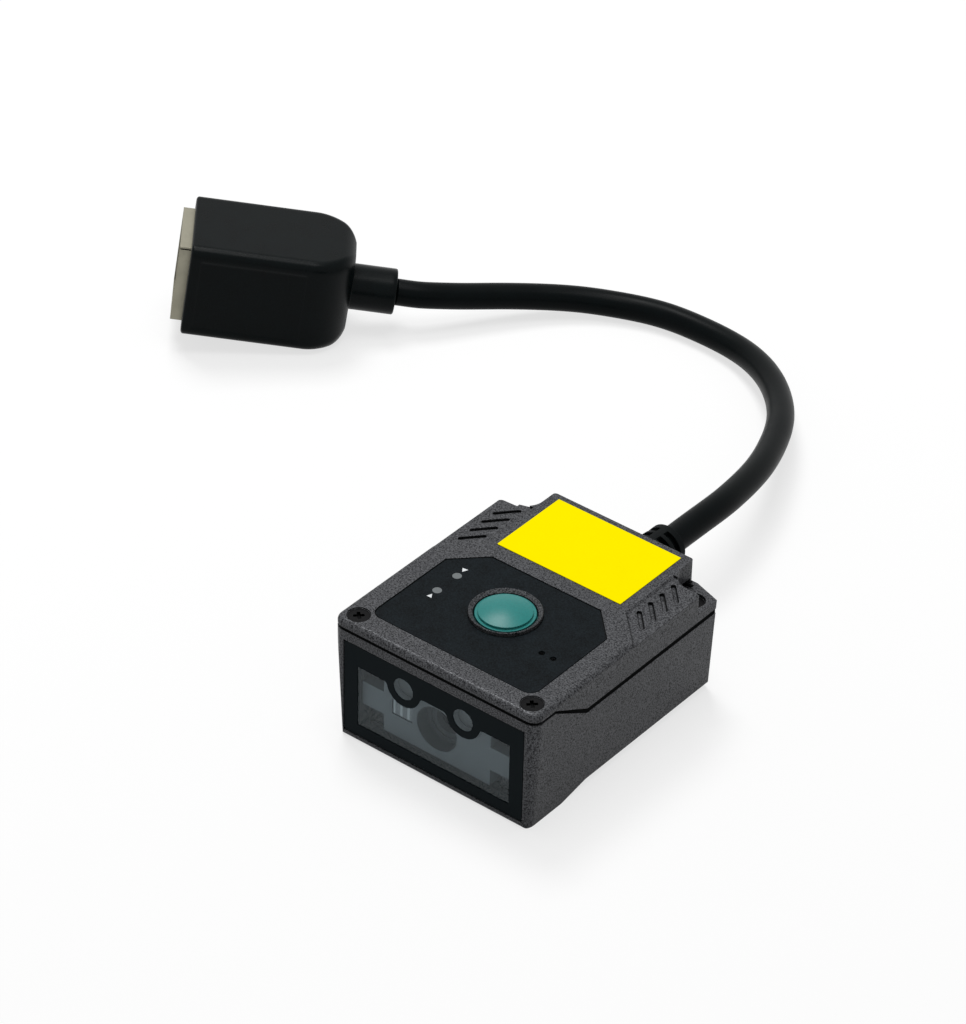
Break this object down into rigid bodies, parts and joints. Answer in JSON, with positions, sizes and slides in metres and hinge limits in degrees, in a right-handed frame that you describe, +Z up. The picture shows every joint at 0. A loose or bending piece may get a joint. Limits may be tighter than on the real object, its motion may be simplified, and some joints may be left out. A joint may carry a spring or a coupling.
{
  "type": "fixed barcode reader",
  "caption": "Small box-shaped barcode reader with a window, a push button on top and a short cable to a modular socket, for fixing in a machine.",
  "frame": {"origin": "middle of the housing's underside", "axes": "+Z up through the button, -Y out of the window, +Y out of the cable side"},
  "size_m": [0.1457, 0.1328, 0.0244],
  "materials": {
    "housing_plastic": "fine speckled dark grey",
    "seal_rubber": "matt black",
    "overlay_plastic": "satin near black",
    "label_film": "plain yellow film",
    "button_plastic": "satin teal",
    "window_clear": "clear",
    "mask_film": "matt black print",
    "light_clear": "clear",
    "screw_black": "black",
    "screw_steel": "plain",
    "engine_plastic": "grey moulding",
    "barrel_plastic": "matt black",
    "lens_glass": "coated",
    "board_green": "green laminate",
    "chip_black": "black moulding",
    "led_white": "pale",
    "brass_metal": "plain",
    "ribbon_film": "amber film",
    "header_plastic": "natural",
    "wire_plastic": "coloured",
    "cable_rubber": "satin black",
    "socket_plastic": "satin black",
    "shield_nickel": "plated sheet"
  },
  "bodies": {
    "reader": {"lower_housing": "housing_plastic", "top_cover": "housing_plastic", "housing_seal": "seal_rubber", "top_overlay": "overlay_plastic", "blank_label": "label_film", "tact_switch": "chip_black", "light_pipes": "light_clear", "status_leds": "led_white", "front_cover_screws": "screw_black", "rear_cover_screws": "screw_black", "window_pane": "window_clear", "window_mask": "mask_film", "window_tape": "mask_film", "engine_frame": "engine_plastic", "lens_barrel": "barrel_plastic", "front_lens": "lens_glass", "image_sensor": "chip_black", "engine_board": "board_green", "lamp_led": "led_white", "lamp_optic": "light_clear", "aimer_lenses": "light_clear", "aimer_modules": "brass_metal", "engine_screws": "screw_steel", "main_board": "board_green", "decoder_chip": "chip_black", "wire_header": "header_plastic", "cable_wires": "wire_plastic", "main_board_screws": "screw_steel", "control_board": "board_green", "sound_unit": "chip_black", "control_board_screws": "screw_steel", "engine_ribbon": "ribbon_film", "control_ribbon": "ribbon_film", "fixing_inserts": "brass_metal", "strain_relief": "cable_rubber", "cable": "cable_rubber", "socket_overmould": "socket_plastic", "socket_shield": "shield_nickel", "socket_insert": "socket_plastic", "socket_contacts": "brass_metal"},
    "button": {"scan_button": "button_plastic"}
  },
  "joints": [
    {"name": "button_press", "type": "slide", "parent": "reader", "child": "button", "axis": [0, 0, -1], "range_m": [0, 0.0004], "stiffness_N_per_m": 1500}
  ]
}
